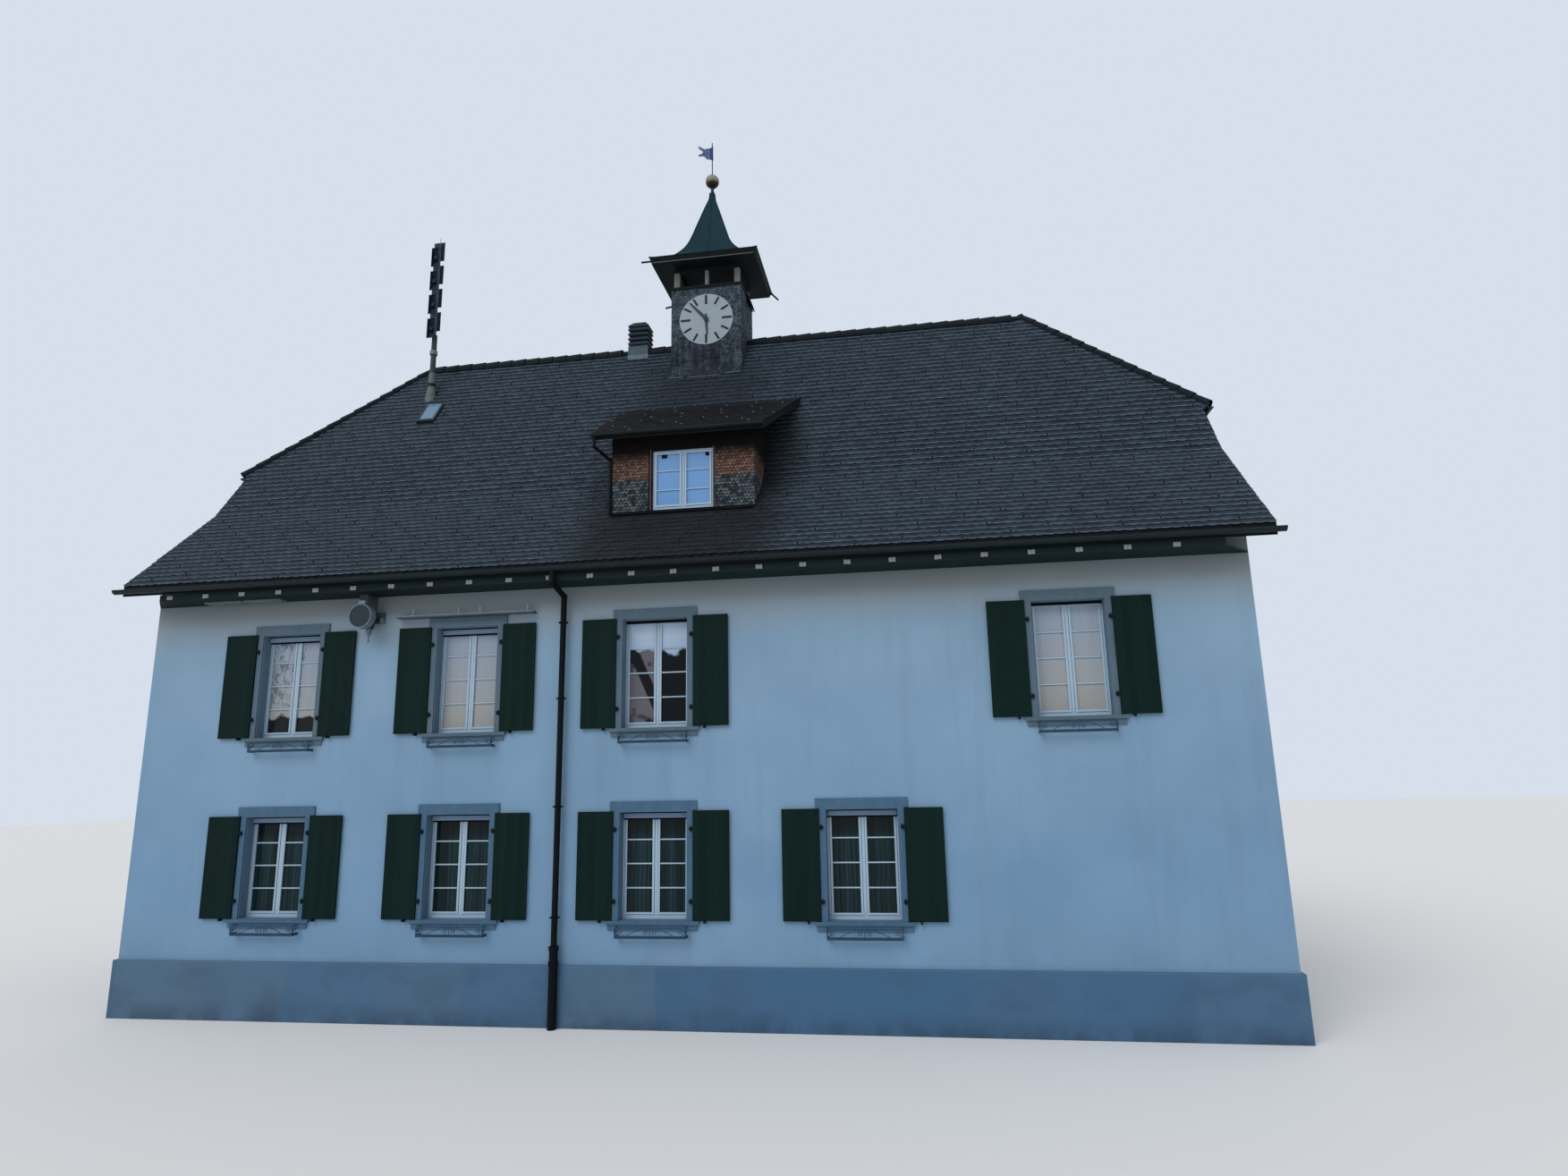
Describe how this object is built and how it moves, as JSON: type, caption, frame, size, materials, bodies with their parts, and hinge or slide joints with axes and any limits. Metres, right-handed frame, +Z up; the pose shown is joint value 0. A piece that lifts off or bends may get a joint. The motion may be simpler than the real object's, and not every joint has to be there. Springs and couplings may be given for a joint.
{
  "type": "schoolhouse with a ridge clock turret",
  "caption": "Two-storey schoolhouse with a half-hipped tiled roof, a shingled clock turret with a flared spire on its ridge, a dormer, shutters and flower rails.",
  "frame": {"origin": "middle of the plan at the lowest ground level", "axes": "+X to the right along the front, +Y from the front to the back, +Z up; the front faces -Y"},
  "size_m": [20.14, 10.322, 19.093],
  "materials": {
    "plaster": "fine render, painted pale blue-white",
    "plinth_stone": "smooth render, painted blue-grey",
    "surround_stone": "dressed stone, painted blue-grey",
    "step_stone": "worn granite",
    "floorboards": "plain boards",
    "window_paint": "white gloss paint",
    "glass": "clear window glass",
    "shutter_paint": "dark green paint",
    "wrought_iron": "iron, painted blue-grey",
    "blind_metal": "pale coated aluminium",
    "roof_tile": "weathered plain tiles",
    "eaves_paint": "dark green paint",
    "rafter_paint": "white paint",
    "gutter_metal": "dark green painted sheet",
    "dormer_shingle": "small shingles, brown above and grey below",
    "turret_shingle": "small weathered shingles",
    "render_grey": "grey render",
    "cowl_sheet": "weathered sheet",
    "mast_steel": "galvanised and weathered",
    "belfry_wood": "weathered pale posts",
    "spire_copper": "dark green seamed sheet",
    "gilding": "gilded, dulled",
    "dial_enamel": "white enamel with black bars",
    "hand_black": "black paint",
    "vane_metal": "dark blue paint",
    "nest_wood": "pale boards"
  },
  "bodies": {
    "building": {"plinth": "plinth_stone", "front_wall": "plaster", "back_wall": "plaster", "left_gable_wall": "plaster", "right_gable_wall": "plaster", "door_steps": "step_stone", "ground_floor": "floorboards", "upper_floor": "floorboards", "attic_floor": "floorboards", "window_surrounds": "surround_stone", "window_frames": "window_paint", "window_glass": "glass", "shutters": "shutter_paint", "flower_rails": "wrought_iron", "blind_boxes": "blind_metal", "back_door": "shutter_paint", "front_roof": "roof_tile", "back_roof": "roof_tile", "half_hips": "roof_tile", "ridge_tiles": "roof_tile", "soffits": "eaves_paint", "rafter_ends": "rafter_paint", "barge_boards": "eaves_paint", "gutters": "gutter_metal", "downpipes": "gutter_metal", "dormer_front": "dormer_shingle", "dormer_cheeks": "dormer_shingle", "dormer_roof": "roof_tile", "dormer_window": "window_paint", "chimney": "render_grey", "chimney_cowl": "cowl_sheet", "skylight": "cowl_sheet", "siren_mast": "mast_steel", "siren_horns": "mast_steel", "turret_walls": "turret_shingle", "turret_skirt": "turret_shingle", "belfry_floor": "eaves_paint", "belfry_posts": "belfry_wood", "side_hood": "spire_copper", "turret_eaves": "eaves_paint", "spouts": "gutter_metal", "spire": "spire_copper", "finial": "gilding", "clock_dial": "dial_enamel", "wall_drum": "mast_steel", "awning_ledge": "blind_metal", "nest_boards": "nest_wood"},
    "minute_hand": {"minute_hand": "hand_black"},
    "hour_hand": {"hour_hand": "hand_black"},
    "weathervane": {"weathervane": "vane_metal"}
  },
  "joints": [
    {"name": "minute_turn", "type": "hinge", "parent": "building", "child": "minute_hand", "pos_m": [0, -0.699, 14.045], "axis": [0, 1, 0], "continuous": true},
    {"name": "hour_turn", "type": "hinge", "parent": "building", "child": "hour_hand", "pos_m": [0, -0.69, 14.045], "axis": [0, 1, 0], "continuous": true},
    {"name": "vane_turn", "type": "hinge", "parent": "building", "child": "weathervane", "pos_m": [0, 0, 18.8], "axis": [0, 0, 1], "continuous": true}
  ],
  "couplings": [
    {"joint": "hour_turn", "follows": "minute_turn", "ratio": 0.083333}
  ]
}
